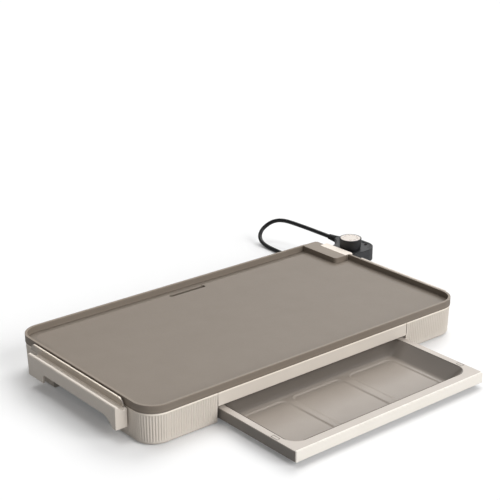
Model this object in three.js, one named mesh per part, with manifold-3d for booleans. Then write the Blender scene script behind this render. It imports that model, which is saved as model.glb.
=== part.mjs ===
// Electric griddle with a warming drawer, a drip tray and an unplugging heat control.
// Units are millimetres, +Z is up. Sizes are given about the middle of the cooking plate, with the
// table at z = 0, and the whole group is shifted at the end so that its origin is the middle of the
// object's footprint with the warming drawer drawn out.

import * as THREE from 'three';
import { mergeVertices } from 'three/addons/utils/BufferGeometryUtils.js';
import Module from 'manifold-3d';

const wasm = await Module();
wasm.setup();

// ---------------------------------------------------------------- driving dimensions
const GAP = 0.3;                 // clearance between pieces that touch
const ROUND_STEPS = 10;          // segments on a quarter round

const PLATE_LENGTH = 580;        // along X
const PLATE_DEPTH = 320;         // along Y
const PLATE_RADIUS = 32;
const RIM_TOP = 58;
const COOKING_TOP = 49;
const PLATE_UNDERSIDE = 44.8;
const SKIRT_BOTTOM = 46.6;
const RIM_WALL = 3.5;

const BASE_INSET = 0.6;          // base stands this far inside the plate's edge
const BASE_TOP = 46.3;
const SHELL_WALL = 2.8;
const FOOT_BOTTOM = 1.2;
const FOOT_ROUND = 3.2;          // radius under the feet
const FOOT_TAPER = 1.6;          // the feet lean in by this much towards the table
const FOOT_SEAM = 177;           // half the length of the front fascia
const FOOT_SIDE = 68;            // feet reach from here to the corner along Y
const FASCIA_BOTTOM = 26.1;
const SHIELD_BOTTOM = 29.5;
const SHIELD_THICKNESS = 1.2;

const HANDLE_REACH = 19.5;       // outer face of a handle, measured from the plate's edge
const HANDLE_BOTTOM = 18.5;
const HANDLE_RIDGE = 50.4;
const ARCH_TOP = 31.5;
const HANDLE_FRONT = -117;
const LEFT_HANDLE_REAR = 97;
const RIGHT_HANDLE_REAR = 68;
const GUARD_TOP = 56;

const DRAWER_HALF = 173.5;
const DRAWER_FRONT_TOP = 22.8;
const DRAWER_BOTTOM = 7;
const DRAWER_TRAVEL = 149;
const DRAWER_DEPTH = 181;
const FLANGE_TOP = 22.4;
const PAN_HALF = 162.6;
const PAN_FLOOR_TOP = 5.6;

const PORT_Y = 110;              // middle of the probe port along Y
const PORT_Z = 41.2;             // height of the heating element and the probe
const PIN_PITCH = 22;
const PORT_INNER = 280.6;
const PORT_OUTER = 297;
const PORT_HALF = 31;

const HOUSING_BOTTOM = 30;
const HOUSING_SPLIT = 40;
const HOUSING_TOP = 52;
const DIAL_X = 321.5;
const DIAL_RADIUS = 18.6;
const DIAL_TOP = 70.5;

const CORD_DIAMETER = 7;
const CORD_X = 345;
const CORD_Z = 46;
const COIL_X = 262;
const COIL_Y = 208;
const COIL_MEAN_RADIUS = 36;
const COIL_HEIGHT = 14.4;

// The origin, seen from the middle of the plate.
const ORIGIN = new THREE.Vector3(27.5, -73, 0);

const HALF_X = PLATE_LENGTH / 2;
const HALF_Y = PLATE_DEPTH / 2;
const BASE_X = HALF_X - BASE_INSET;
const BASE_Y = HALF_Y - BASE_INSET;

// ---------------------------------------------------------------- materials
const finish = (color, roughness, metalness) => ({ color, roughness, metalness });
const FINISHES = {
  plate: finish(0x92887b, 0.5, 0.1),
  oatmeal: finish(0xe2d9ce, 0.55, 0),
  pan: finish(0xb0a79c, 0.5, 0.1),
  black: finish(0x2d2e30, 0.5, 0),
  cream: finish(0xefe4da, 0.5, 0),
  rubber: finish(0x1d1d1e, 0.8, 0),
  steel: finish(0xb9bbbd, 0.35, 0.9),
  element: finish(0x6f6a64, 0.5, 0.7),
  brass: finish(0xc9a45c, 0.35, 0.9),
  cord: finish(0x1a1a1a, 0.6, 0),
  lens: finish(0x8c2a22, 0.2, 0),
};

const griddle = new THREE.Group();

// Adds one named piece to the griddle.
function place(name, shape, finishName) {
  const geometry = shape instanceof THREE.BufferGeometry ? shape : toGeometry(shape);
  const mesh = new THREE.Mesh(geometry, new THREE.MeshStandardMaterial(FINISHES[finishName]));
  mesh.name = name;
  griddle.add(mesh);
}

// ---------------------------------------------------------------- joining and cutting
function toSolid(geometry) {
  const bare = geometry.clone();
  bare.deleteAttribute('normal');
  bare.deleteAttribute('uv');
  const merged = mergeVertices(bare, 1e-4);
  return new wasm.Manifold(new wasm.Mesh({
    numProp: 3,
    vertProperties: new Float32Array(merged.attributes.position.array),
    triVerts: new Uint32Array(merged.index.array),
  }));
}

function toGeometry(solid) {
  const mesh = solid.getMesh();
  const geometry = new THREE.BufferGeometry();
  geometry.setAttribute('position', new THREE.BufferAttribute(mesh.vertProperties, 3));
  geometry.setIndex(new THREE.BufferAttribute(mesh.triVerts, 1));
  geometry.computeVertexNormals();
  return geometry;
}

const asSolid = (shape) => (shape instanceof THREE.BufferGeometry ? toSolid(shape) : shape);
const cut = (body, ...tools) => tools.reduce((left, tool) => left.subtract(asSolid(tool)), asSolid(body));
const join = (body, ...others) => others.reduce((sum, other) => sum.add(asSolid(other)), asSolid(body));

// ---------------------------------------------------------------- basic shapes
function block(x0, x1, y0, y1, z0, z1) {
  const box = new THREE.BoxGeometry(x1 - x0, y1 - y0, z1 - z0);
  return box.translate((x0 + x1) / 2, (y0 + y1) / 2, (z0 + z1) / 2);
}

// Outline of a rectangle with one radius for every corner.
function roundedOutline(x0, x1, y0, y1, radius) {
  const shape = new THREE.Shape();
  shape.moveTo(x0 + radius, y0);
  shape.lineTo(x1 - radius, y0);
  shape.absarc(x1 - radius, y0 + radius, radius, -Math.PI / 2, 0);
  shape.lineTo(x1, y1 - radius);
  shape.absarc(x1 - radius, y1 - radius, radius, 0, Math.PI / 2);
  shape.lineTo(x0 + radius, y1);
  shape.absarc(x0 + radius, y1 - radius, radius, Math.PI / 2, Math.PI);
  shape.lineTo(x0, y0 + radius);
  shape.absarc(x0 + radius, y0 + radius, radius, Math.PI, Math.PI * 1.5);
  return shape;
}

function extrude(shape, depth, steps = ROUND_STEPS) {
  return new THREE.ExtrudeGeometry(shape, { depth, bevelEnabled: false, curveSegments: steps });
}

const slab = (x0, x1, y0, y1, z0, z1, radius) =>
  extrude(roundedOutline(x0, x1, y0, y1, radius), z1 - z0).translate(0, 0, z0);

// A section drawn in X and Z, carried along Y from y0 to y1.
function alongY(points, y0, y1) {
  const shape = new THREE.Shape(points.map(([x, z]) => new THREE.Vector2(x, z)));
  return extrude(shape, y1 - y0).rotateX(Math.PI / 2).translate(0, y1, 0);
}

// A shape drawn in Y and Z, carried along X from x0 to x1.
const ALONG_X = new THREE.Matrix4().makeBasis(
  new THREE.Vector3(0, 1, 0), new THREE.Vector3(0, 0, 1), new THREE.Vector3(1, 0, 0));
const alongX = (shape, x0, x1) => extrude(shape, x1 - x0).applyMatrix4(ALONG_X).translate(x0, 0, 0);

function cylinder(axis, radius, x, y, z, length, sides = 20) {
  const shape = new THREE.CylinderGeometry(radius, radius, length, sides);
  if (axis === 'x') shape.rotateZ(-Math.PI / 2);
  if (axis === 'z') shape.rotateX(Math.PI / 2);
  return shape.translate(x, y, z);
}

// A round tube of the given diameter swept along a curve.
function sweep(curve, diameter, sides, steps) {
  const section = new THREE.Shape();
  section.absarc(0, 0, diameter / 2, 0, Math.PI * 2);
  const options = { steps, bevelEnabled: false, extrudePath: curve, curveSegments: sides };
  return new THREE.ExtrudeGeometry(section, options);
}

// A body whose outline changes from level to level: each ring is a convex loop, counter-clockwise.
function stack(rings) {
  const count = rings[0].length;
  const positions = rings.flat().flatMap(([x, y, z]) => [x, y, z]);
  const faces = [];
  for (let level = 0; level + 1 < rings.length; level += 1) {
    for (let i = 0; i < count; i += 1) {
      const a = level * count + i;
      const b = level * count + ((i + 1) % count);
      faces.push(a, b, b + count, a, b + count, a + count);
    }
  }
  const top = (rings.length - 1) * count;
  for (let i = 1; i + 1 < count; i += 1) {
    faces.push(0, i + 1, i);
    faces.push(top, top + i, top + i + 1);
  }
  const geometry = new THREE.BufferGeometry();
  geometry.setAttribute('position', new THREE.Float32BufferAttribute(positions, 3));
  geometry.setIndex(faces);
  geometry.computeVertexNormals();
  return geometry;
}

// One level of a rounded rectangle, for stack().
function ring(x0, x1, y0, y1, z, radius) {
  const outline = roundedOutline(x0, x1, y0, y1, radius).getPoints(ROUND_STEPS);
  outline.pop();
  return outline.map((p) => [p.x, p.y, z]);
}

// ---------------------------------------------------------------- cooking plate
const HOOD = { x0: 257, y0: 78, wall: 3 };
const SLOT = { x0: -34, x1: 34, y0: 135.5, y1: 143 };
const CHANNEL = { depth: 1, left: -272, rear: 146, fade: 62, full: 130, slope: 1, corner: 16 };

// What stands up from the floor of the channel: the cooking surface, which falls away towards the
// rear left corner along the left edge.
function cookingSurface() {
  const low = COOKING_TOP - CHANNEL.depth;
  const level = (grow, z) => ring(
    CHANNEL.left - grow, PLATE_LENGTH, -PLATE_LENGTH, CHANNEL.rear + grow, z, CHANNEL.corner + grow);
  const { slope } = CHANNEL;
  const table = stack([level(slope, 0), level(slope, low), level(-slope, COOKING_TOP)]);
  const fall = new THREE.Shape([
    [-PLATE_LENGTH, 0], [PLATE_DEPTH, 0], [PLATE_DEPTH, low], [CHANNEL.full, low],
    [CHANNEL.fade, COOKING_TOP], [-PLATE_LENGTH, COOKING_TOP],
  ].map(([y, z]) => new THREE.Vector2(y, z)));
  return [table, alongX(fall, -PLATE_LENGTH, CHANNEL.left + CHANNEL.corner)];
}

function griddlePlate() {
  const outer = slab(-HALF_X, HALF_X, -HALF_Y, HALF_Y, SKIRT_BOTTOM, RIM_TOP, PLATE_RADIUS);
  const inX = HALF_X - RIM_WALL;
  const inY = HALF_Y - RIM_WALL;
  const low = COOKING_TOP - CHANNEL.depth;
  const inside = slab(-inX, inX, -inY, inY, low, RIM_TOP + 5, PLATE_RADIUS - RIM_WALL);
  const well = cut(inside, ...cookingSurface());
  const lowX = BASE_X - SHELL_WALL - 1.2;
  const lowY = BASE_Y - SHELL_WALL - 1.2;
  const lower = slab(-lowX, lowX, -lowY, lowY, PLATE_UNDERSIDE, SKIRT_BOTTOM + 0.5, PLATE_RADIUS - 5);
  const hood = slab(HOOD.x0, HALF_X - 1, HOOD.y0, HALF_Y - 1, low - 0.5, RIM_TOP, 6);
  const notch = block(
    PORT_INNER - GAP, HALF_X + 5, PORT_Y - PORT_HALF - GAP, PORT_Y + PORT_HALF + GAP, 0, 70);
  const drain = slab(SLOT.x0, SLOT.x1, SLOT.y0, SLOT.y1, 0, 70, 3);
  const spill = block(SLOT.x0 + 2, SLOT.x1 - 2, SLOT.y1 - 1, CHANNEL.rear + 2, low, 70);
  return cut(join(cut(outer, well), lower, hood), notch, drain, spill);
}
place('griddle_plate', griddlePlate(), 'plate');

// ---------------------------------------------------------------- heating element and probe socket
// The tube runs round the plate's underside and both its ends come out at the probe port.
function elementPath() {
  const far = 240;
  const turn = 40;
  const near = PORT_Y - PIN_PITCH / 2;
  const side = PORT_Y + PIN_PITCH / 2;
  const bend = 22;
  const path = new THREE.CurvePath();
  const at = (x, y) => new THREE.Vector3(x, y, PORT_Z);
  const line = (a, b) => path.add(new THREE.LineCurve3(a, b));
  const corner = (a, middle, b) => path.add(new THREE.QuadraticBezierCurve3(a, middle, b));
  line(at(262, side), at(-far + turn, side));
  corner(at(-far + turn, side), at(-far, side), at(-far, side - turn));
  line(at(-far, side - turn), at(-far, -side + turn));
  corner(at(-far, -side + turn), at(-far, -side), at(-far + turn, -side));
  line(at(-far + turn, -side), at(far - turn, -side));
  corner(at(far - turn, -side), at(far, -side), at(far, -side + turn));
  line(at(far, -side + turn), at(far, near - bend));
  corner(at(far, near - bend), at(far, near), at(far + bend, near));
  return path;
}

function heatingParts() {
  place('heating_element', sweep(elementPath(), 6.6, 5, 110), 'element');
  [-1, 1].forEach((side, i) => {
    const y = PORT_Y + (side * PIN_PITCH) / 2;
    place(`terminal_pin_${i + 1}`, cylinder('x', 2.4, 275, y, PORT_Z, 25.4, 12), 'steel');
  });
  const shell = cylinder('x', 4.2, 263, PORT_Y, PORT_Z - 1, 44);
  const tube = cut(shell, cylinder('x', 3.2, 266, PORT_Y, PORT_Z - 1, 44));
  place('probe_socket_tube', tube, 'steel');
}
heatingParts();

// ---------------------------------------------------------------- base
function frontFascia() {
  const x = FOOT_SEAM - GAP;
  const face = block(-x, x, -BASE_Y, -BASE_Y + SHELL_WALL, FASCIA_BOTTOM, BASE_TOP);
  const lip = block(-x, x, -BASE_Y, -BASE_Y + 7, FASCIA_BOTTOM, FASCIA_BOTTOM + 2);
  return join(face, lip);
}
place('front_fascia', frontFascia(), 'oatmeal');

function rearPanel() {
  const x = FOOT_SEAM - GAP;
  return block(-x, x, BASE_Y - SHELL_WALL, BASE_Y, FASCIA_BOTTOM, BASE_TOP);
}
place('rear_panel', rearPanel(), 'oatmeal');

// Footprint of a foot at one level: square towards the middle, round at the outer corner.
function footRing(seam, side, inset, z, sx, sy) {
  const x1 = BASE_X - inset;
  const y1 = BASE_Y - inset;
  const radius = PLATE_RADIUS - BASE_INSET - inset;
  const points = [[seam, side], [x1, side]];
  for (let i = 0; i <= ROUND_STEPS; i += 1) {
    const angle = (Math.PI / 2) * (i / ROUND_STEPS);
    points.push([x1 - radius + radius * Math.cos(angle), y1 - radius + radius * Math.sin(angle)]);
  }
  points.push([seam, y1]);
  const placed = points.map(([x, y]) => [x * sx, y * sy, z]);
  return sx * sy > 0 ? placed : placed.reverse();
}

// A foot is a hollow corner moulding: a tapered outer wall, rounded under, with a bucket at its foot.
function cornerFoot(sx, sy) {
  const levels = [];
  for (let i = 0; i <= 3; i += 1) {
    const angle = (Math.PI / 2) * (i / 3);
    const lift = FOOT_ROUND * (1 - Math.cos(angle));
    levels.push([FOOT_TAPER + FOOT_ROUND * (1 - Math.sin(angle)), FOOT_BOTTOM + lift]);
  }
  levels.push([0, BASE_TOP]);
  const outside = stack(levels.map(([inset, z]) => footRing(FOOT_SEAM + GAP, FOOT_SIDE, inset, z, sx, sy)));
  const bucketTop = SHIELD_BOTTOM - GAP;
  const bucket = stack([[FOOT_TAPER + 5, FOOT_BOTTOM + 3], [3, bucketTop + 0.1]].map(([inset, z]) =>
    footRing(FOOT_SEAM + GAP + SHELL_WALL, FOOT_SIDE + SHELL_WALL, inset + SHELL_WALL, z, sx, sy)));
  const above = stack([[0.9, bucketTop], [0, BASE_TOP + 5]].map(([inset, z]) =>
    footRing(FOOT_SEAM - 9, FOOT_SIDE - 9, inset + SHELL_WALL, z, sx, sy)));
  const foot = cut(outside, bucket, above);
  if (sx < 0 || sy < 0) return foot;
  const low = SHIELD_BOTTOM - 4;
  const port = block(
    PORT_INNER - GAP, PORT_OUTER + 13, PORT_Y - PORT_HALF - GAP, PORT_Y + PORT_HALF + GAP, low, 70);
  return cut(foot, port);
}

const CORNERS = [['front_left', -1, -1], ['front_right', 1, -1], ['rear_left', -1, 1], ['rear_right', 1, 1]];
CORNERS.forEach(([where, sx, sy]) => {
  place(`corner_foot_${where}`, cornerFoot(sx, sy), 'oatmeal');
  place(`rubber_pad_${where}`, cylinder('z', 9, sx * 262, sy * 136, 0.45, 0.9), 'rubber');
  place(`base_screw_${where}`, baseScrew(sx * 215, sy * 134), 'steel');
});

// A pan-head screw that comes up through the floor of a foot into the heat shield.
function baseScrew(x, y) {
  const head = cylinder('z', 4, x, y, FOOT_BOTTOM + 3 + GAP + 1.2, 2.4, 12);
  const shank = cylinder('z', 1.8, x, y, 17.5, 23, 8);
  return join(head, shank);
}

function sidePanel(sx, rear) {
  const x0 = Math.min(sx * BASE_X, sx * (BASE_X - SHELL_WALL));
  return block(x0, x0 + SHELL_WALL, -FOOT_SIDE + GAP, rear, 12, BASE_TOP);
}
place('side_panel_left', sidePanel(-1, FOOT_SIDE - GAP), 'oatmeal');
place('side_panel_right', sidePanel(1, FOOT_SIDE - GAP), 'oatmeal');

// The guard stands round the probe port and fills the notch in the plate's edge.
function portGuard() {
  const guard = slab(
    PORT_INNER, PORT_OUTER, PORT_Y - PORT_HALF, PORT_Y + PORT_HALF, SHIELD_BOTTOM + 2, RIM_TOP, 2);
  const opening = block(PORT_INNER - 5, PORT_OUTER + 5, PORT_Y - 22, PORT_Y + 22, 34, 50.5);
  return cut(guard, opening);
}
place('probe_port_guard', portGuard(), 'oatmeal');

function heatShield() {
  const x = BASE_X - SHELL_WALL - 1.2;
  const y = BASE_Y - SHELL_WALL - 1.2;
  const top = SHIELD_BOTTOM + SHIELD_THICKNESS;
  const sheet = slab(-x, x, -y, y, SHIELD_BOTTOM, top, PLATE_RADIUS - 5);
  const drain = slab(SLOT.x0 - 4, SLOT.x1 + 4, SLOT.y0 - 6, SLOT.y1 + 5, 0, 60, 4);
  return cut(sheet, drain);
}
place('heat_shield', heatShield(), 'steel');

const STUD_X = 200;
const STUD_Y = 88;
[[-1, -1], [1, -1], [-1, 1], [1, 1]].forEach(([sx, sy], i) => {
  const low = SHIELD_BOTTOM + SHIELD_THICKNESS + GAP;
  const high = PLATE_UNDERSIDE - GAP;
  const stud = cylinder('z', 4, sx * STUD_X, sy * STUD_Y, (low + high) / 2, high - low, 12);
  place(`plate_stud_${i + 1}`, stud, 'steel');
});

// ---------------------------------------------------------------- side handles and heat guards
// Section of a handle: ridge and trough on top, hollow below. u is measured out from the plate's edge.
function handleSection(sx) {
  const edge = [
    [1, HANDLE_BOTTOM], [HANDLE_REACH, HANDLE_BOTTOM], [HANDLE_REACH, HANDLE_RIDGE - 2.4],
    [HANDLE_REACH - 0.8, HANDLE_RIDGE - 0.7], [HANDLE_REACH - 2.4, HANDLE_RIDGE],
    [HANDLE_REACH - 4.6, HANDLE_RIDGE - 0.2],
    [12.6, 47.2], [10, 44.8], [7, 43.8], [4.6, 44], [4.1, 45.6], [1, 45.6],
  ];
  const placed = edge.map(([u, z]) => [sx * (HALF_X + u), z]);
  return sx > 0 ? placed : placed.reverse();
}

// Outline of the arch, drawn along Y and up, as the tool that opens a handle underneath.
function archTool(y0, y1) {
  const shape = new THREE.Shape();
  const slope = 26;
  shape.moveTo(y0, 0);
  shape.lineTo(y1, 0);
  shape.lineTo(y1, ARCH_TOP - 5);
  shape.absarc(y1 - 5, ARCH_TOP - 5, 5, 0, Math.PI / 2);
  shape.lineTo(y0 + slope, ARCH_TOP);
  shape.quadraticCurveTo(y0 + slope * 0.4, ARCH_TOP, y0, HANDLE_BOTTOM - 1);
  return alongX(shape, -HALF_X - 40, HALF_X + 40);
}

function handle(sx, rear) {
  const bar = alongY(handleSection(sx), HANDLE_FRONT, rear);
  const inner = sx * (HALF_X - 5);
  const outer = sx * (HALF_X + HANDLE_REACH - 3.2);
  const hollow = block(Math.min(inner, outer), Math.max(inner, outer), HANDLE_FRONT + 16, rear - 12, 0, 40.5);
  const arch = archTool(HANDLE_FRONT + 6, rear - 38);
  return cut(bar, hollow, arch);
}
place('handle_left', handle(-1, LEFT_HANDLE_REAR), 'oatmeal');
place('handle_right', handle(1, RIGHT_HANDLE_REAR), 'oatmeal');

// A heat guard is a thin upright strip with rounded upper corners, standing on the handle's root.
function heatGuard(sx, rear) {
  const y0 = HANDLE_FRONT + 5.5;
  const y1 = rear;
  const frontRadius = 10;
  const rearRadius = 9.8;
  const foot = GUARD_TOP - 10.1;
  const shape = new THREE.Shape();
  shape.moveTo(y0, foot);
  shape.lineTo(y1, foot);
  shape.lineTo(y1, GUARD_TOP - rearRadius);
  shape.absarc(y1 - rearRadius, GUARD_TOP - rearRadius, rearRadius, 0, Math.PI / 2);
  shape.lineTo(y0 + frontRadius, GUARD_TOP);
  shape.absarc(y0 + frontRadius, GUARD_TOP - frontRadius, frontRadius, Math.PI / 2, Math.PI);
  const near = sx > 0 ? HALF_X + 1.9 : -HALF_X - 3.9;
  return alongX(shape, near, near + 2);
}
place('heat_guard_left', heatGuard(-1, LEFT_HANDLE_REAR + 17), 'oatmeal');
place('heat_guard_right', heatGuard(1, RIGHT_HANDLE_REAR + 6), 'oatmeal');

// ---------------------------------------------------------------- warming drawer
const DRAWER_FACE = -HALF_Y - DRAWER_TRAVEL;
const DRAWER_BACK = DRAWER_FACE + DRAWER_DEPTH;
const PAN_FRONT = DRAWER_FACE + 17;
const PAN_REAR = DRAWER_BACK - 12;

// An angle runner for one side of the drawer, hung from the heat shield.
function drawerRail(sx) {
  const high = SHIELD_BOTTOM - GAP;
  const section = [[167.5, 4.4], [176.4, 4.4], [176.4, high], [174.6, high], [174.6, 6.3], [167.5, 6.3]];
  const placed = section.map(([x, z]) => [sx * x, z]);
  return alongY(sx > 0 ? placed : placed.reverse(), -BASE_Y + 8, 48);
}
place('drawer_rail_left', drawerRail(-1), 'steel');
place('drawer_rail_right', drawerRail(1), 'steel');

function drawerFrame() {
  const front = DRAWER_FACE + 3.3;
  const body = slab(-DRAWER_HALF, DRAWER_HALF, front, DRAWER_BACK, DRAWER_BOTTOM, FLANGE_TOP, 1.5);
  const inner = DRAWER_HALF - 2.2;
  const under = slab(-inner, inner, front + 2.2, DRAWER_BACK - 2.2, 0, FLANGE_TOP - 2, 2);
  const mouth = slab(-PAN_HALF - 1, PAN_HALF + 1, PAN_FRONT - 1, PAN_REAR + 1, 0, 60, 21);
  return cut(body, under, mouth);
}
place('drawer_frame', drawerFrame(), 'oatmeal');

function drawerFront() {
  return slab(-DRAWER_HALF, DRAWER_HALF, DRAWER_FACE, DRAWER_FACE + 3, DRAWER_BOTTOM, DRAWER_FRONT_TOP, 1);
}
place('drawer_front', drawerFront(), 'oatmeal');

// The pan hangs in the frame: sloping walls down to a floor with three shallow panels.
const PAN_PANELS = [[-146, -72], [-60, 30.5], [46, 130]];
const PAN_SHEET = 2;
const PANEL_DEPTH = 1;

function panShell(grow, low, high) {
  const wide = [-PAN_HALF + grow, PAN_HALF - grow, PAN_FRONT + grow, PAN_REAR - grow];
  const narrow = [-150 + grow, 136 - grow, PAN_FRONT + 12 + grow, PAN_REAR - 27 - grow];
  return stack([
    ring(...narrow, low, 14),
    ring(...narrow.map((v, i) => v + (i % 2 ? 2 : -2)), low + 1.6, 16),
    ring(...wide, high, 20),
  ]);
}

function warmingPan() {
  const outside = panShell(0, PAN_FLOOR_TOP - PAN_SHEET, FLANGE_TOP - 0.3);
  const inside = panShell(1.1, PAN_FLOOR_TOP, FLANGE_TOP + 0.4);
  const panels = PAN_PANELS.map(([x0, x1]) =>
    slab(x0, x1, PAN_FRONT + 16, PAN_REAR - 31, PAN_FLOOR_TOP - PANEL_DEPTH, PAN_FLOOR_TOP + 2, 10));
  return cut(outside, inside, ...panels);
}
place('warming_pan', warmingPan(), 'pan');

// ---------------------------------------------------------------- drip tray
const DRIP = { half: 58, front: 92, rear: BASE_Y, bottom: 5, top: 25.6 };

function dripTray() {
  const body = slab(-DRIP.half, DRIP.half, DRIP.front, DRIP.rear, DRIP.bottom, DRIP.top, 4);
  const well = slab(-DRIP.half + 2, DRIP.half - 2, DRIP.front + 2, DRIP.rear - 2.6, DRIP.bottom + 2, 60, 4);
  const grip = block(-24, 24, DRIP.rear - 5, DRIP.rear + 5, DRIP.top - 8, 60);
  return cut(body, well, grip);
}
place('drip_tray', dripTray(), 'oatmeal');

function dripRail(sx) {
  const low = DRIP.bottom - 2.2;
  const in0 = DRIP.half - 5;
  const out0 = DRIP.half + 0.6;
  const out1 = DRIP.half + 2.2;
  const high = SHIELD_BOTTOM - GAP;
  const section = [[in0, low], [out1, low], [out1, high], [out0, high], [out0, low + 1.8], [in0, low + 1.8]];
  const placed = section.map(([x, z]) => [sx * x, z]);
  return alongY(sx > 0 ? placed : placed.reverse(), DRIP.front - 4, BASE_Y - 4);
}
place('drip_rail_left', dripRail(-1), 'steel');
place('drip_rail_right', dripRail(1), 'steel');

// ---------------------------------------------------------------- heat control
const HOUSING_REAR = 163;
const HOUSING_FRONT = 84;
const HOUSING_END = 364.5;
const HOUSING_SCREWS = [[310, 91], [352, 128]];

// Plan of the housing: straight by the port, round at its free end, drawn out at the back for the cord.
function housingPlan(inset) {
  const shape = new THREE.Shape();
  const x0 = PORT_OUTER + 1 + inset;
  const y0 = HOUSING_FRONT + inset;
  const radius = 26 - inset;
  const middle = HOUSING_END - 26;
  shape.moveTo(x0, y0);
  shape.lineTo(middle, y0);
  shape.absarc(middle, y0 + radius, radius, -Math.PI / 2, 0);
  shape.lineTo(HOUSING_END - inset, 128);
  shape.quadraticCurveTo(HOUSING_END - 3 - inset, 150, CORD_X + 9 - inset, HOUSING_REAR - inset);
  shape.lineTo(CORD_X - 9 + inset, HOUSING_REAR - inset);
  shape.quadraticCurveTo(CORD_X - 16, 142, x0 + 8, 138 - inset);
  shape.lineTo(x0, 138 - inset);
  return shape;
}

const housingSlab = (inset, z0, z1) => extrude(housingPlan(inset), z1 - z0, 6).translate(0, 0, z0);
const glandBore = () => cylinder('y', 4.4, CORD_X, HOUSING_REAR, CORD_Z, 30, 16);
const noseBore = () =>
  block(PORT_OUTER - 20, PORT_OUTER + 6, PORT_Y - 18, PORT_Y + 18, HOUSING_SPLIT - 4.6, 46);

const housingNose = () =>
  slab(PORT_INNER + 9, PORT_OUTER + 4, PORT_Y - 20, PORT_Y + 20, 34.4, 50, 1.5);

function housingLower() {
  const shell = housingSlab(0, HOUSING_BOTTOM, HOUSING_SPLIT);
  const hollow = housingSlab(2.2, HOUSING_BOTTOM + 2.2, HOUSING_SPLIT + 5);
  const above = block(0, 500, 0, 300, HOUSING_SPLIT, 90);
  const screwHoles = HOUSING_SCREWS.map(([x, y]) => cylinder('z', 1.9, x, y, HOUSING_BOTTOM, 10, 10));
  return cut(join(cut(shell, hollow), cut(housingNose(), above)), noseBore(), ...screwHoles);
}

function housingUpper() {
  const shell = housingSlab(0, HOUSING_SPLIT + GAP, HOUSING_TOP);
  const hollow = housingSlab(2.2, HOUSING_SPLIT - 5, HOUSING_TOP - 2.2);
  const below = block(0, 500, 0, 300, 0, HOUSING_SPLIT + GAP);
  const spindle = cylinder('z', 4, DIAL_X, PORT_Y, HOUSING_TOP, 30, 16);
  return cut(join(cut(shell, hollow), cut(housingNose(), below)), noseBore(), spindle, glandBore());
}

function controlParts() {
  place('control_housing_lower', housingLower(), 'black');
  place('control_housing_upper', housingUpper(), 'black');
  const works = slab(305, 337, PORT_Y - 14, PORT_Y + 14, HOUSING_BOTTOM + 2.8, 45.4, 2);
  place('thermostat_switch', works, 'brass');
  place('sensing_rod', cylinder('x', 2.5, 277, PORT_Y, PORT_Z - 1, 55, 12), 'steel');
  [-1, 1].forEach((side, i) => {
    const y = PORT_Y + (side * PIN_PITCH) / 2;
    const outside = cylinder('x', 3.6, 293.5, y, PORT_Z, 22, 14);
    const sleeve = cut(outside, cylinder('x', 2.8, 286, y, PORT_Z, 22, 12));
    place(`contact_sleeve_${i + 1}`, sleeve, 'brass');
  });
  HOUSING_SCREWS.forEach(([x, y], i) => {
    const low = HOUSING_BOTTOM - GAP - 1.4;
    const shank = cylinder('z', 1.5, x, y, (low + 47) / 2, 47 - low, 8);
    const head = cylinder('z', 2.8, x, y, low + 0.7, 1.4, 12);
    place(`housing_screw_${i + 1}`, join(shank, head), 'steel');
  });
  place('indicator_lens', cylinder('z', 2.4, 352, 104, HOUSING_TOP + GAP + 0.5, 1, 16), 'lens');
}
controlParts();

// The dial turns about an upright spindle and carries a cream face disc.
function dialParts() {
  const skirt = [
    [0, HOUSING_TOP + 0.6], [DIAL_RADIUS - 1.2, HOUSING_TOP + 0.6], [DIAL_RADIUS - 0.6, HOUSING_TOP + 4],
    [DIAL_RADIUS, DIAL_TOP - 2], [DIAL_RADIUS, DIAL_TOP - 0.4], [DIAL_RADIUS - 0.6, DIAL_TOP],
    [DIAL_RADIUS - 1.7, DIAL_TOP], [DIAL_RADIUS - 1.7, DIAL_TOP - 1.6], [0, DIAL_TOP - 1.6],
  ];
  const profile = skirt.map(([r, z]) => new THREE.Vector2(r, z));
  const knob = new THREE.LatheGeometry(profile, 48).rotateX(Math.PI / 2).translate(DIAL_X, PORT_Y, 0);
  const stem = cylinder('z', 3.4, DIAL_X, PORT_Y, HOUSING_TOP - 2, 6, 14);
  place('dial_knob', join(knob, stem), 'black');
  place('dial_face', cylinder('z', DIAL_RADIUS - 2, DIAL_X, PORT_Y, DIAL_TOP - 0.7, 1.2, 48), 'cream');
}
dialParts();

// ---------------------------------------------------------------- mains lead
const RELIEF_START = HOUSING_REAR - 10;
const RELIEF_END = 186;

// The relief is clamped in the housing wall and tapers down to the lead.
function strainRelief() {
  const profile = [
    [0, RELIEF_START], [4, RELIEF_START], [4, HOUSING_REAR + 0.4], [6.8, HOUSING_REAR + 0.4],
    [6.8, HOUSING_REAR + 12], [4.6, RELIEF_END], [0, RELIEF_END],
  ].map(([r, y]) => new THREE.Vector2(r, y));
  return new THREE.LatheGeometry(profile, 20).translate(CORD_X, 0, CORD_Z);
}
place('strain_relief', strainRelief(), 'rubber');

// The lead runs straight back, then folds over in one loose turn and comes back along the table.
const CORD_ROUTE = [
  [345, 186.4, 46], [345, 205, 46], [345, 225, 46], [345, 245, 45.9], [345, 265, 45.6], [345, 285, 45],
  [344.6, 302, 43.9], [342.6, 318, 41], [338, 330, 36], [331, 337.5, 29], [322.5, 340, 21.5],
  [314.5, 336.5, 14.4], [308.8, 327.5, 8.6], [305.4, 314, 5], [303.6, 298, 3.7], [302.6, 280, 3.6],
  [302, 264, 3.6], [301.6, 250, 3.6], [301.5, 236.8, 3.6],
].map(([x, y, z]) => new THREE.Vector3(x, y, z));

const cordLine = new THREE.CatmullRomCurve3(CORD_ROUTE, false, 'centripetal');
place('cord_lead', sweep(cordLine, CORD_DIAMETER, 4, 40), 'cord');

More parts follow.
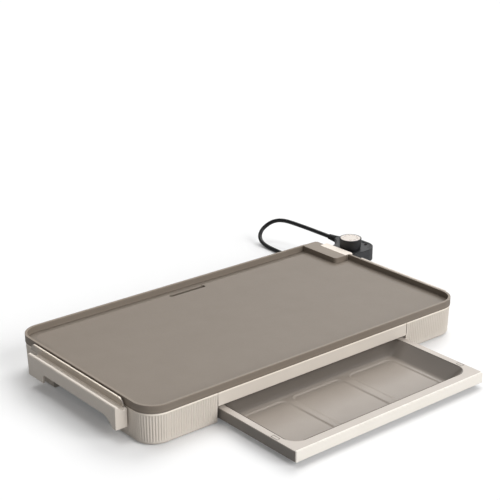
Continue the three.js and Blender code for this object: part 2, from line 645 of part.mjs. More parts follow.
function cordCoil() {
  const half = CORD_DIAMETER + 0.1;
  const inner = COIL_MEAN_RADIUS - half;
  const outer = COIL_MEAN_RADIUS + half;
  const profile = [[inner, 0], [outer, 0], [outer, COIL_HEIGHT], [inner, COIL_HEIGHT], [inner, 0]]
    .map(([r, z]) => new THREE.Vector2(r, z));
  return new THREE.LatheGeometry(profile, 32).rotateX(Math.PI / 2);
}
place('cord_coil', cordCoil().translate(COIL_X, COIL_Y, 0.1), 'cord');

// A soft strap closed round the whole bundle of turns.
function cordTie() {
  const half = CORD_DIAMETER + 0.1;
  const inner = COIL_MEAN_RADIUS - half;
  const outer = COIL_MEAN_RADIUS + half;
  const y0 = COIL_Y - 4;
  const y1 = COIL_Y + 4;
  const band = block(COIL_X - outer - 1.6, COIL_X - inner + 1.6, y0, y1, 0, COIL_HEIGHT + 2);
  const hole = block(COIL_X - outer - 0.5, COIL_X - inner + 0.7, y0 - 5, y1 + 5, -5, COIL_HEIGHT + 0.5);
  return cut(band, hole);
}
place('cord_tie', cordTie(), 'rubber');

// A two-pin plug lies beside the coil, with its blades pointing away from it.
function plugParts() {
  const y = COIL_Y - COIL_MEAN_RADIUS;
  const neckEnd = COIL_X - 31;
  const bodyEnd = neckEnd - 18;
  const face = bodyEnd - 24;
  const neck = new THREE.CylinderGeometry(4.4, 6.4, 18.5, 16).rotateZ(-Math.PI / 2)
    .translate((neckEnd + bodyEnd) / 2, y, 8);
  const body = slab(face, bodyEnd, y - 12, y + 12, 0.2, 16, 5);
  place('plug_body', join(body, neck), 'rubber');
  [-1, 1].forEach((side, i) => {
    const blade = block(face - 16.5, face - GAP, y + side * 6.35 - 0.75, y + side * 6.35 + 0.75, 4.8, 11.2);
    place(`plug_blade_${i + 1}`, blade, 'brass');
  });
}
plugParts();

griddle.children.forEach((piece) => piece.position.sub(ORIGIN));

export default griddle;
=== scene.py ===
import math

import bmesh
import bpy
import numpy as np
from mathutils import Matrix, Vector


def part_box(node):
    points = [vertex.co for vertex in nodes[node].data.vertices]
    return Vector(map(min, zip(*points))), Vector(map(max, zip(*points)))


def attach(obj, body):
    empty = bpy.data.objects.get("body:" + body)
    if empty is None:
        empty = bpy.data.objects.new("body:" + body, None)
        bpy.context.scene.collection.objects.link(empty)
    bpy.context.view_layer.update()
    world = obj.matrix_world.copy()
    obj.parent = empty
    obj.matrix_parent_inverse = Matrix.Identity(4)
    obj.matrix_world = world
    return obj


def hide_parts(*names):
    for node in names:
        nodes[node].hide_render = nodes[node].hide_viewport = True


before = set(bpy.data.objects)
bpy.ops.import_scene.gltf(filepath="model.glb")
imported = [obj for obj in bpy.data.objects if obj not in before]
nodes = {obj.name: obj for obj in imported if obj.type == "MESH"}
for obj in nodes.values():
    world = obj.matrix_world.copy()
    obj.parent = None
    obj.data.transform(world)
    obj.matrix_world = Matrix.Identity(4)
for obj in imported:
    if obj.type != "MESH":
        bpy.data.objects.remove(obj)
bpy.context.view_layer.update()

# ---------------------------------------------------------------- camera
# The griddle is seen from its front left and from above, through a long lens.
# Every length below is in millimetres from the middle of the plate, with heights from the worktop.
plate_low, plate_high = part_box("griddle_plate")
middle = np.array([(plate_low.x + plate_high.x) / 2, (plate_low.y + plate_high.y) / 2, 0.0])
CAMERA_PLACE = (-1102.6, -1334.5, 802.6)
CAMERA_BACK = (-0.6000, -0.7196, 0.3496)


def metres(points):
    """Turns millimetres from the middle of the plate into metres in the frame: p / 1000 + middle."""
    return np.asarray(points, float) / 1000 + middle


lens = bpy.data.cameras.new("camera")
lens.lens = 92.15
lens.sensor_width = 36
camera = bpy.data.objects.new("camera", lens)
camera.location = metres(CAMERA_PLACE)
camera.rotation_mode = "QUATERNION"
camera.rotation_quaternion = (-Vector(CAMERA_BACK)).to_track_quat("-Z", "Y")
bpy.context.collection.objects.link(camera)
bpy.context.scene.camera = camera

# ---------------------------------------------------------------- mains lead
# A round black PVC lead, 7 mm thick and about 0.85 m long. It leaves the control level, bends down
# behind the griddle and is stored in a small coil on the worktop, held by a soft strap.
LEAD_DIAMETER = 7.0
LEAD_ROUTE = [
    (345, 186.4, 46), (345, 205, 46), (345, 225, 46), (345, 245, 45.9), (345, 265, 45.6),
    (345, 285, 45), (344.6, 302, 43.9), (342.6, 318, 41), (338, 330, 36), (331, 337.5, 29),
    (322.5, 340, 21.5), (314.5, 336.5, 14.4), (308.8, 327.5, 8.6), (305.4, 314, 5), (303.6, 298, 3.7),
    (302.6, 280, 3.6), (302, 264, 3.6), (301.6, 250, 3.6), (301.5, 236.8, 3.6),
]
COIL_CENTRE = (262.0, 208.0)
COIL_OUTER = 39.5
COIL_INNER = 32.4
COIL_TOP_RADIUS = 36.0
COIL_FLOOR = 3.6
COIL_UPPER = 10.75
COIL_SWEEP = 810
MOVE_INWARD = (285, 352)
CLIMB = (655, 712)
MOVE_OUTWARD = (700, 770)
SINK_FROM = 242
PLUG_NECK = (232.2, 172.0, 8.0)


def smooth_line(points, step):
    """A curve through the points, each stretch a cubic between its two ends whose slopes point from the
    point before to the point after (centripetal: the time between points is the root of their distance).
    It is sampled every step millimetres."""
    p = np.asarray(points, float)
    p = np.vstack([2 * p[0] - p[1], p, 2 * p[-1] - p[-2]])
    gap = np.sqrt(np.linalg.norm(np.diff(p, axis=0), axis=1))
    pieces = []
    for i in range(1, len(p) - 2):
        a, b, c = gap[i - 1], gap[i], gap[i + 1]
        out = ((p[i] - p[i - 1]) / a - (p[i + 1] - p[i - 1]) / (a + b) + (p[i + 1] - p[i]) / b) * b
        back = ((p[i + 1] - p[i]) / b - (p[i + 2] - p[i]) / (b + c) + (p[i + 2] - p[i + 1]) / c) * b
        count = max(2, int(np.ceil(np.linalg.norm(p[i + 1] - p[i]) / step)))
        t = (np.arange(count) / count)[:, None]
        pieces.append(
            (2 * t**3 - 3 * t**2 + 1) * p[i] + (t**3 - 2 * t**2 + t) * out
            + (3 * t**2 - 2 * t**3) * p[i + 1] + (t**3 - t**2) * back
        )
    return np.vstack([*pieces, p[-2][None]])


def ease(x, start, end):
    """0 before start, 1 after end, and 3t^2 - 2t^3 between them."""
    t = np.clip((x - start) / (end - start), 0, 1)
    return t * t * (3 - 2 * t)


def coil_line(step_angle):
    """The turns as (x, y, z) for a growing angle a: centre + r(a) * (cos a, -sin a). r is the outer radius
    in the first turn and the inner radius in the second, side by side on the worktop. Then the lead
    climbs onto the two turns and leaves at the front, level with the plug. Each change is eased between
    its two angles in degrees."""
    turn = np.arange(0, COIL_SWEEP + 1e-6, step_angle)
    a = np.radians(turn)
    r = COIL_OUTER + (COIL_INNER - COIL_OUTER) * ease(turn, *MOVE_INWARD)
    r = r + (COIL_TOP_RADIUS - COIL_INNER) * ease(turn, *MOVE_OUTWARD)
    z = COIL_FLOOR + (COIL_UPPER - COIL_FLOOR) * ease(turn, *CLIMB)
    return np.stack([COIL_CENTRE[0] + r * np.cos(a), COIL_CENTRE[1] - r * np.sin(a), z], axis=1)


def tail_line(step):
    """The last stretch, straight to the plug's neck. Past the turns its height sinks with an ease."""
    x = np.arange(COIL_CENTRE[0] - step, PLUG_NECK[0], -step)
    z = COIL_UPPER + (PLUG_NECK[2] - COIL_UPPER) * ease(-x, -SINK_FROM, -PLUG_NECK[0])
    return np.vstack([np.stack([x, np.full_like(x, PLUG_NECK[1]), z], axis=1), PLUG_NECK])


def linked(name, points, faces):
    """A new object in the scene, with a mesh of points in millimetres and a list of faces."""
    mesh = bpy.data.meshes.new(name)
    mesh.from_pydata(metres(points), [], faces)
    piece = bpy.data.objects.new(name, mesh)
    bpy.context.collection.objects.link(piece)
    return piece


def shade(mesh, crease):
    """Shades a mesh smooth, except across edges that bend by more than crease degrees."""
    mesh.polygons.foreach_set("use_smooth", np.ones(len(mesh.polygons), bool))
    mesh.set_sharp_from_angle(angle=math.radians(crease))


def skin(name, rows, crease):
    """A closed skin over rings of points, given as (rings, points in a ring, 3) in millimetres. Neighbouring
    rings are joined by four-sided faces, and each end ring closes on its own middle. If six times the volume,
    the sum of a . (b x c) over the triangles, is negative, every face is turned over."""
    rows = np.asarray(rows, float)
    rings, count = rows.shape[:2]
    points = np.vstack([rows.reshape(-1, 3), rows[0].mean(0), rows[-1].mean(0)])
    a = np.arange(rings - 1)[:, None] * count + np.arange(count)
    b = np.arange(rings - 1)[:, None] * count + (np.arange(count) + 1) % count
    quads = np.stack([a, b, b + count, a + count], axis=-1).reshape(-1, 4)
    first = np.arange(count)
    second = (first + 1) % count
    last = (rings - 1) * count
    caps = np.vstack([
        np.stack([second, first, np.full(count, rings * count)], axis=1),
        np.stack([first + last, second + last, np.full(count, rings * count + 1)], axis=1),
    ])
    triangles = np.vstack([quads[:, [0, 1, 2]], quads[:, [0, 2, 3]], caps])
    corner = points[triangles]
    if np.einsum("ij,ij->i", corner[:, 0], np.cross(corner[:, 1], corner[:, 2])).sum() < 0:
        quads = quads[:, ::-1]
        caps = caps[:, ::-1]
    piece = linked(name, points, quads.tolist() + caps.tolist())
    work = bmesh.new()
    work.from_mesh(piece.data)
    bmesh.ops.remove_doubles(work, verts=work.verts, dist=1e-6)
    bmesh.ops.dissolve_degenerate(work, edges=work.edges, dist=1e-6)
    work.to_mesh(piece.data)
    work.free()
    shade(piece.data, crease)
    return piece


def tube(line, radius, sides):
    """Rings along a line: point + radius * (cos v * side + sin v * up), where side is level and square to the
    line and up is square to both. The radius may be one number or one for each point."""
    along = np.gradient(line, axis=0)
    along /= np.linalg.norm(along, axis=1)[:, None]
    side = np.cross(along, [0, 0, 1.0])
    side /= np.linalg.norm(side, axis=1)[:, None]
    up = np.cross(side, along)
    v = np.arange(sides) / sides * 2 * math.pi
    radius = np.broadcast_to(radius, (len(line),))[:, None, None]
    return line[:, None] + radius * (np.cos(v)[:, None] * side[:, None] + np.sin(v)[:, None] * up[:, None])


def linear(code):
    """Turns an sRGB hex colour into the linear colour that a shader works in."""
    srgb = np.array([int(code[i:i + 2], 16) for i in (0, 2, 4)]) / 255
    return (*np.where(srgb <= 0.04045, srgb / 12.92, ((srgb + 0.055) / 1.055) ** 2.4), 1.0)


def add(owner, kind, inputs=None, **settings):
    """Adds a shader node of that kind to a material or a world. Settings are the node's own options, and
    each input is a plain value or another node's output."""
    tree = owner.node_tree
    node = tree.nodes.new("ShaderNode" + kind)
    for option, value in settings.items():
        setattr(node, option, value)
    for socket, value in (inputs or {}).items():
        if isinstance(value, bpy.types.NodeSocket):
            tree.links.new(value, node.inputs[socket])
        else:
            node.inputs[socket].default_value = value
    return node


def finish(name, **constants):
    """A new material and its Principled shader, with the shader's own sockets set to constants."""
    material = bpy.data.materials.new(name)
    material.use_nodes = True
    shader = material.node_tree.nodes["Principled BSDF"]
    for socket, value in constants.items():
        shader.inputs[socket.replace("_", " ")].default_value = value
    return material, shader


def mottle(material, shader, light, dark, size):
    """Tints a surface between two close hex colours with soft noise, whose patches are size mm across."""
    place = add(material, "TexCoord").outputs["Object"]
    noise = add(material, "TexNoise", {"Vector": place, "Scale": 1000 / size, "Detail": 3.0})
    ramp = add(material, "ValToRGB", {"Fac": noise.outputs["Fac"]})
    ramp.color_ramp.elements[0].position = 0.28
    ramp.color_ramp.elements[1].position = 0.72
    ramp.color_ramp.elements[0].color = linear(dark)
    ramp.color_ramp.elements[1].color = linear(light)
    material.node_tree.links.new(ramp.outputs["Color"], shader.inputs["Base Color"])


def grain(material, shader, size, depth, rough):
    """Raises fine noise bumps that are size mm apart and depth mm high. The surface's roughness runs
    between the two numbers of rough with the same bumps."""
    place = add(material, "TexCoord").outputs["Object"]
    noise = add(material, "TexNoise", {"Vector": place, "Scale": 1000 / size, "Detail": 2.0})
    bump = add(material, "Bump", {"Height": noise.outputs["Fac"], "Distance": depth / 1000, "Strength": 1.0})
    material.node_tree.links.new(bump.outputs["Normal"], shader.inputs["Normal"])
    spread = add(material, "MapRange", {"Value": noise.outputs["Fac"], "From Min": 0.3, "From Max": 0.7,
                                        "To Min": rough[0], "To Max": rough[1]})
    material.node_tree.links.new(spread.outputs["Result"], shader.inputs["Roughness"])


def height_tone(material, shader, stops):
    """Multiplies a surface's colour by a tone for each height, to paint shade and highlights: stops are
    (height in mm, tone) pairs, and the tone runs evenly from one to the next."""
    low, high = stops[0][0], stops[-1][0]
    height = add(material, "SeparateXYZ", {0: add(material, "TexCoord").outputs["Object"]}).outputs["Z"]
    share = add(material, "MapRange", {"Value": height, "From Min": low / 1000, "From Max": high / 1000})
    ramp = add(material, "ValToRGB", {"Fac": share.outputs["Result"]})
    while len(ramp.color_ramp.elements) < len(stops):
        ramp.color_ramp.elements.new(0.5)
    for element, (z, tone) in zip(ramp.color_ramp.elements, stops):
        element.position = (z - low) / (high - low)
        element.color = (tone, tone, tone, 1.0)
    colour = shader.inputs["Base Color"].links[0].from_socket
    both = add(material, "VectorMath", {0: colour, 1: ramp.outputs["Color"]}, operation="MULTIPLY")
    material.node_tree.links.new(both.outputs["Vector"], shader.inputs["Base Color"])


# Extruded PVC: even black with a soft satin gloss, and faint marks from the die along its skin.
pvc, shader = finish("extruded_pvc", Roughness=0.4, IOR=1.52)
mottle(pvc, shader, "161617", "101011", 14)
grain(pvc, shader, 1.6, 0.05, rough=(0.34, 0.5))

route = smooth_line(LEAD_ROUTE, 3.0)
entry_y = np.linspace(LEAD_ROUTE[-1][1], COIL_CENTRE[1], 11)[1:-1]
entry_x = np.full_like(entry_y, COIL_CENTRE[0] + COIL_OUTER)
entry = np.stack([entry_x, entry_y, np.full_like(entry_y, COIL_FLOOR)], axis=1)
lead_line = np.vstack([route, entry, coil_line(5), tail_line(3.0)])
lead = skin("mains_lead", tube(lead_line, LEAD_DIAMETER / 2, 20), crease=60)
lead.data.materials.append(pvc)
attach(lead, "control")
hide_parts("cord_lead", "cord_coil")

# The strain relief is a soft black rubber sleeve, moulded round the lead and gripped by the housing wall.
# Grooves are moulded into it so that it bends evenly, and it gets thinner towards the lead.
RELIEF_START = 153.0
RELIEF_NECK = 10.4
NECK_RADIUS = 4.0
RELIEF_END = 186.0
RELIEF_RADIUS = 6.75
RELIEF_FALL = 2.05
RELIEF_TIP = (4.35, 3.9)
GROOVES = 5
GROOVE_DEPTH = 1.3
GROOVED = (3.0, 21.0)


def relief_rows():
    """Rings round the lead for distance y. Inside the housing it is a plain neck. Outside, the radius falls
    with distance to the power 0.9, and each of the grooves takes its depth off as a squared raised cosine."""
    y = np.linspace(RELIEF_START, RELIEF_END, 100)
    out = y - (RELIEF_START + RELIEF_NECK)
    share = np.clip(out / (RELIEF_END - RELIEF_START - RELIEF_NECK), 0, 1)
    radius = np.where(out < 0, NECK_RADIUS, RELIEF_RADIUS - RELIEF_FALL * share**0.9)
    phase = np.clip((out - GROOVED[0]) / (GROOVED[1] - GROOVED[0]), 0, 1)
    wave = 0.5 - 0.5 * np.cos(2 * math.pi * GROOVES * phase)
    radius = radius - GROOVE_DEPTH * wave**2 * (out > GROOVED[0]) * (out < GROOVED[1])
    radius[-2:] = RELIEF_TIP
    line = np.stack([np.full_like(y, LEAD_ROUTE[0][0]), y, np.full_like(y, LEAD_ROUTE[0][2])], axis=1)
    return tube(line, radius, 32)


rubber, shader = finish("moulded_rubber", Roughness=0.6, IOR=1.52)
mottle(rubber, shader, "1a1a1b", "131314", 9)
grain(rubber, shader, 0.9, 0.05, rough=(0.52, 0.68))

relief = skin("relief_sleeve", relief_rows(), crease=45)
relief.data.materials.append(rubber)
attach(relief, "control")
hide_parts("strain_relief")


# ---------------------------------------------------------------- softened CAD parts
# Moulded, cast and pressed parts have no knife edges: each corner carries a small radius.
# These steps merge a part's loose triangles, put that radius on its edges and keep its flats flat.
FLAT_ANGLE = 0.8
SHARP_ANGLE = 32
EDGE_STEPS = 3


def merging_steps():
    """Geometry nodes: merge points within 0.001 mm, drop stored normals, and shade every face smooth."""
    group = bpy.data.node_groups.new("merge_and_smooth", "GeometryNodeTree")
    group.interface.new_socket("Geometry", in_out="INPUT", socket_type="NodeSocketGeometry")
    group.interface.new_socket("Geometry", in_out="OUTPUT", socket_type="NodeSocketGeometry")
    start = group.nodes.new("NodeGroupInput")
    plain = group.nodes.new("GeometryNodeRemoveAttribute")
    plain.inputs["Name"].default_value = "custom_normal"
    merge = group.nodes.new("GeometryNodeMergeByDistance")
    merge.inputs["Distance"].default_value = 1e-6
    smooth = group.nodes.new("GeometryNodeSetShadeSmooth")
    end = group.nodes.new("NodeGroupOutput")
    group.links.new(start.outputs["Geometry"], plain.inputs["Geometry"])
    group.links.new(plain.outputs["Geometry"], merge.inputs["Geometry"])
    group.links.new(merge.outputs["Geometry"], smooth.inputs["Geometry"])
    group.links.new(smooth.outputs["Geometry"], end.inputs["Geometry"])
    return group


merging = merging_steps()


def soften(name, material, width):
    """Gives a CAD part its material. Faces within FLAT_ANGLE degrees of each other become one, and every
    edge that bends by more than SHARP_ANGLE degrees is rounded to width mm."""
    part = nodes[name]
    part.data.materials.clear()
    part.data.materials.append(material)
    part.modifiers.new("merge", "NODES").node_group = merging
    flat = part.modifiers.new("flats", "DECIMATE")
    flat.decimate_type = "DISSOLVE"
    flat.angle_limit = math.radians(FLAT_ANGLE)
    round_off = part.modifiers.new("radius", "BEVEL")
    round_off.width = width / 1000
    round_off.segments = EDGE_STEPS
    round_off.limit_method = "ANGLE"
    round_off.angle_limit = math.radians(SHARP_ANGLE)
    weigh = part.modifiers.new("flat_shading", "WEIGHTED_NORMAL")
    weigh.weight = 100


def moulded(name, light, dark, rough, size=0.8, depth=0.03, tones=None):
    """An injection-moulded plastic: two close tones, and the fine spark texture of its mould. If tones is
    given, it holds the stops of painted shade and highlights by height. Size and depth are the texture's, in
    mm."""
    material, shader = finish(name, Roughness=sum(rough) / 2, IOR=1.49)
    mottle(material, shader, light, dark, 45)
    grain(material, shader, size, depth, rough=rough)
    if tones:
        height_tone(material, shader, tones)
    return material


CORNERS = ("front_left", "front_right", "rear_left", "rear_right")

for name in ("cord_tie", "plug_body"):
    soften(name, rubber, 0.5)
for corner in CORNERS:
    soften("rubber_pad_" + corner, rubber, 0.2)

# ---------------------------------------------------------------- griddle plate
# One die-cast aluminium plate with a raised rim, a grease channel and a drain slot. It is sprayed with a
# warm grey ceramic non-stick coating: matte, with a fine even orange-peel. Its rim top carries a painted
# highlight.
coating, shader = finish("ceramic_nonstick", Roughness=0.5, IOR=1.5)
mottle(coating, shader, "867b6f", "83786c", 30)
grain(coating, shader, 1.1, 0.04, rough=(0.46, 0.56))
# Painted shade in the grease channel and on the rim's walls, and a painted highlight on the rim's top.
RIM_SHADE_AND_HIGHLIGHT_TONES = [(48.0, 0.84), (48.9, 1.0), (50.0, 1.0), (51.5, 0.92), (56.6, 0.92), (57.4, 1.25)]
height_tone(coating, shader, RIM_SHADE_AND_HIGHLIGHT_TONES)
soften("griddle_plate", coating, 1.0)

# ---------------------------------------------------------------- base mouldings
# The base's walls, the handles and the drip tray are moulded in off-white polypropylene. The thin guards
# between the handles and the plate are greyer. Their top edges carry a painted highlight, lighter than the
# walls.
OFF_WHITE = ("ddd4c9", "d9d0c5")
GUARD_GREY = ("b7aea3", "b3aa9f")
WALL_ROUGH = (0.44, 0.54)
# Painted highlight along the base's and the feet's top lip.
LIP_HIGHLIGHT_TONES = [(43.6, 1.0), (44.5, 1.36)]
# Painted highlight along the handles' top lip.
HANDLE_HIGHLIGHT_TONES = [(49.2, 1.0), (50.1, 1.12)]
# Painted highlight along the guards' top edge.
GUARD_HIGHLIGHT_TONES = [(54.4, 1.0), (55.4, 2.3)]
base_plastic = moulded("base_polypropylene", *OFF_WHITE, WALL_ROUGH, tones=LIP_HIGHLIGHT_TONES)
for name in ("front_fascia", "rear_panel", "side_panel_left", "side_panel_right"):
    soften(name, base_plastic, 1.2)
soften("probe_port_guard", base_plastic, 0.6)
handle_plastic = moulded("handle_polypropylene", *OFF_WHITE, WALL_ROUGH, tones=HANDLE_HIGHLIGHT_TONES)
for name in ("handle_left", "handle_right"):
    soften(name, handle_plastic, 0.9)
guard_plastic = moulded("guard_polypropylene", *GUARD_GREY, (0.3, 0.38), tones=GUARD_HIGHLIGHT_TONES)
for name in ("heat_guard_left", "heat_guard_right"):
    soften(name, guard_plastic, 0.7)
soften("drip_tray", base_plastic, 0.6)

# Each corner foot is a hollow moulding with upright flutes round its outer wall. The flutes run out below
# a smooth lip, and the foot's lower edge is rounded.
FOOT_X = 289.4
FOOT_Y = 159.4
FOOT_SEAM = 177.3
FOOT_SIDE = 68.0
FOOT_RADIUS = 31.4
FOOT_TAPER = 1.6
FOOT_LOW = 1.2
FOOT_ROUND = 3.2
FLUTE_PITCH = 3.95
FLUTE_DEPTH = 1.1
FLUTE_ENDS = (2.5, 4.5)
LIP_LOW = 43.2
LIP_ROUND = 2.0
WALL_TOP = 46.3
BUCKET_TOP = 29.2
PORT_FLOOR = 25.2
PORT_SPAN = (78.7, 141.3)
PORT_EDGE = 0.01
# Outside: each height, and the share of the flutes' depth there.
FLUTE_LEVELS = (
    (5.5, 0), (8.0, 1), (16.0, 1), (PORT_FLOOR, 1), (BUCKET_TOP, 1), (36.0, 1), (42.2, 1), (LIP_LOW, 0),
    (44.4, 0),
)
# Inside: the outer wall's thickness, the inner walls' thickness, and the height.
INNER_LEVELS = (
    (2.5, 0, WALL_TOP), (2.8, 0, WALL_TOP - 0.4), (3.4, 0, 35.0), (3.7, 0, BUCKET_TOP),
    (5.8, 2.8, BUCKET_TOP), (9.4, 2.8, 4.2),
)


def foot_columns(port):
    """Where the foot's upright lines stand: the distance along the outer wall from the front seam, and how
    far each may rise. The port's two edges get a line on each side, 0.02 mm apart."""
    straight = FOOT_X - FOOT_RADIUS - FOOT_SEAM
    length = straight + FOOT_RADIUS * math.pi / 2 + FOOT_Y - FOOT_RADIUS - FOOT_SIDE
    along = np.arange(0, length, FLUTE_PITCH / 8)
    rise = np.full(len(along), WALL_TOP)
    if port:
        low = length - (PORT_SPAN[0] - FOOT_SIDE)
        arc = FOOT_RADIUS * math.asin((PORT_SPAN[1] - FOOT_Y + FOOT_RADIUS) / FOOT_RADIUS)
        high = length - (FOOT_Y - FOOT_RADIUS - FOOT_SIDE) - arc
        edges = [high - PORT_EDGE, high + PORT_EDGE, low - PORT_EDGE, low + PORT_EDGE]
        along = np.sort(np.append(along, edges))
        rise = np.where((along > high) & (along < low), PORT_FLOOR, WALL_TOP)
    return np.append(along, length), np.append(rise, WALL_TOP)


def foot_rows(sx, sy):
    """Rings from the foot's underside up the outer wall, over the lip and down inside to the floor, in the
    corner with the signs sx, sy. A line at distance s stands on the straight front, the quarter circle or
    the straight side, moved inward by its row's inset; a flute takes depth * (1 - |sin(pi s / pitch)|) off
    it. The two inner sides are flat. The foot under the port is cut down to the port's floor."""
    along, rise = foot_columns(sx > 0 and sy > 0)
    straight = FOOT_X - FOOT_RADIUS - FOOT_SEAM
    turn = np.clip((along - straight) / FOOT_RADIUS, 0, math.pi / 2)
    front = np.minimum(along, straight)
    side = np.maximum(along - straight - FOOT_RADIUS * math.pi / 2, 0)
    flute = FLUTE_DEPTH * (1 - np.abs(np.sin(math.pi * along / FLUTE_PITCH)))
    flute = flute * ease(along, *FLUTE_ENDS) * ease(along[-1] - along, *FLUTE_ENDS)
    bend = np.linspace(0, math.pi / 2, 6)
    under = (FOOT_TAPER + FOOT_ROUND * (1 - np.sin(bend)), FOOT_LOW + FOOT_ROUND * (1 - np.cos(bend)))
    over = (LIP_ROUND * (1 - np.cos(bend)), WALL_TOP - LIP_ROUND * (1 - np.sin(bend)))
    slope = FOOT_TAPER / (WALL_TOP - FOOT_LOW - FOOT_ROUND)
    levels = [(inset, 0, z, 0) for inset, z in zip(*under)]
    levels += [(slope * (WALL_TOP - z), 0, z, share) for z, share in FLUTE_LEVELS]
    levels += [(inset, 0, z, 0) for inset, z in zip(*over)]
    levels += [(inset, wall, z, 0) for inset, wall, z in INNER_LEVELS]
    part = np.linspace(0, 1, 12)
    rows = []
    for inset, wall, z, share in levels:
        reach = FOOT_RADIUS - inset - share * flute
        x = FOOT_SEAM + front + reach * np.sin(turn)
        y = FOOT_Y - FOOT_RADIUS - side + reach * np.cos(turn)
        x = np.maximum(x, FOOT_SEAM + wall)
        y = np.maximum(y, FOOT_SIDE + wall)
        back_x = np.append(x[-1] + (x[0] - x[-1]) * part, np.full(len(part) - 1, x[0]))
        back_y = np.append(np.full(len(part), y[-1]), y[-1] + (y[0] - y[-1]) * part[1:])
        height = np.append(np.minimum(z, rise), np.full(len(back_x), min(z, BUCKET_TOP)))
        rows.append(np.stack([sx * np.append(x, back_x), sy * np.append(y, back_y), height], axis=1))
    return np.array(rows)


# The feet carry the same painted highlight along their top lip.
foot_plastic = moulded("fluted_polypropylene", *OFF_WHITE, WALL_ROUGH, tones=LIP_HIGHLIGHT_TONES)
for corner in CORNERS:
    rows = foot_rows(1 if "right" in corner else -1, 1 if "rear" in corner else -1)
    foot = skin("fluted_foot_" + corner, rows, crease=30)
    foot.data.materials.append(foot_plastic)
    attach(foot, "base")
    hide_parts("corner_foot_" + corner)

# ---------------------------------------------------------------- warming drawer
# The drawer is an off-white frame, whose sides below the flanges carry painted shade, and a thin pale front
# panel.
# Painted shade on the frame's sides, below the flanges.
DRAWER_SIDE_SHADE_TONES = [(20.6, 0.42), (21.9, 1.0)]
drawer_plastic = moulded("drawer_abs", "cdc4bb", "c9c0b6", (0.36, 0.46), tones=DRAWER_SIDE_SHADE_TONES)
soften("drawer_frame", drawer_plastic, 0.5)
front_plastic = moulded("drawer_front_abs", "f9f3ea", "f6f0e6", (0.34, 0.44))
soften("drawer_front", front_plastic, 0.6)

# The flange has a small dark rectangular outline on each side, near the front. It is made as the edge of
# a snap catch for the pan: a thin raised line round the catch.
CATCHES = (("left", -171.6, -167.0, -271, -259), ("right", 166.4, 171.6, -276, -266))
CATCH_HEIGHT = 22.36
CATCH_LINE = 0.34
catch_plastic = moulded("catch_acetal", "6d645b", "665e55", (0.4, 0.5))
steps = np.linspace(0, 4, 81)
for name, x0, x1, y0, y1 in CATCHES:
    x = np.interp(steps, np.arange(5), (x0, x1, x1, x0, x0))
    y = np.interp(steps, np.arange(5), (y0, y0, y1, y1, y0))
    line = np.stack([x, y, np.full_like(x, CATCH_HEIGHT)], axis=1)
    catch = skin("drawer_catch_" + name, tube(line, CATCH_LINE, 8), crease=60)
    catch.data.materials.append(catch_plastic)
    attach(catch, "drawer")

# The pan is pressed from thin steel and enamelled taupe, with sloping walls and a floor with three sunk
# panels. The walls carry painted shade, darker than the floor.
PAN_RIM = (-162.3, 162.3, -291.7, -140.3)
PAN_FLOOR = (-149.0, 135.0, -279.0, -168.0)
PAN_RIM_TOP = 22.1
PAN_FLOOR_TOP = 5.7
PAN_PANELS = ((-146.0, -72.0), (-60.0, 30.5), (46.0, 130.0))
PANEL_INSET = 3.0
PANEL_RADIUS = 10.0
PANEL_DEPTH = 1.2
PANEL_EDGE = (-1.0, 1.2)
PAN_CORNER = 1.2
PAN_ROUND = 0.01
PAN_SHEET = 1.2
# Painted shade up the pan's walls.
PAN_WALL_SHADE_TONES = [(5.9, 1.0), (8.5, 0.56), (22.0, 0.48)]


def outside_by(x, y, x0, x1, y0, y1, radius):
    """How far a point lies outside a rounded rectangle, below 0 when inside: the length of what is above 0 in
    |p - middle| - half size + radius, plus what is below 0 in its larger part, less the radius."""
    a = np.abs(x - (x0 + x1) / 2) - (x1 - x0) / 2 + radius
    b = np.abs(y - (y0 + y1) / 2) - (y1 - y0) / 2 + radius
    return np.hypot(np.maximum(a, 0), np.maximum(b, 0)) + np.minimum(np.maximum(a, b), 0) - radius


def pan_height(x, y):
    """The pan's upper surface. Each wall's share of the way down is t = distance from the rim / run of that
    wall. The two nearest walls blend on an ellipse, c - |(c - tx, c - ty)| with c = PAN_CORNER. The height
    then falls with t, and (sqrt(u^2 + PAN_ROUND) + u) / 2 with u = 1 - t rounds the foot of the wall. The
    panels are sunk below the floor."""
    left, right, near, far = PAN_RIM
    floor_left, floor_right, floor_near, floor_far = PAN_FLOOR
    tx = np.minimum((x - left) / (floor_left - left), (right - x) / (right - floor_right))
    ty = np.minimum((y - near) / (floor_near - near), (far - y) / (far - floor_far))
    t = PAN_CORNER - np.hypot(np.maximum(PAN_CORNER - tx, 0), np.maximum(PAN_CORNER - ty, 0))
    u = 1 - np.clip(t, 0, None)
    share = np.minimum((np.sqrt(u * u + PAN_ROUND) + u) / 2, 1)
    z = PAN_FLOOR_TOP + (PAN_RIM_TOP - PAN_FLOOR_TOP) * share
    for x0, x1 in PAN_PANELS:
        out = outside_by(x, y, x0, x1, floor_near + PANEL_INSET, floor_far - PANEL_INSET, PANEL_RADIUS)
        z = z - PANEL_DEPTH * ease(-out, *PANEL_EDGE)
    return z


def pressed_sheet(name, x, y, z, thickness):
    """A closed mesh over a grid of heights z[i, j] at x[i], y[j]: the grid itself, a copy of it lower down by
    the thickness, and a strip round the edge between them."""
    rows, columns = z.shape
    gx, gy = np.meshgrid(x, y, indexing="ij")
    top = np.stack([gx, gy, z], axis=-1).reshape(-1, 3)
    points = np.vstack([top, top - [0, 0, thickness]])
    index = np.arange(rows * columns).reshape(rows, columns)
    cells = np.stack([index[:-1, :-1], index[1:, :-1], index[1:, 1:], index[:-1, 1:]], axis=-1).reshape(-1, 4)
    edge = np.concatenate([index[:-1, 0], index[-1, :-1], index[:0:-1, -1], index[0, :0:-1]])
    after = np.roll(edge, -1)
    below = rows * columns
    strip = np.stack([edge, edge + below, after + below, after], axis=-1)
    piece = linked(name, points, np.vstack([cells, cells[:, ::-1] + below, strip]).tolist())
    shade(piece.data, 50)
    return piece


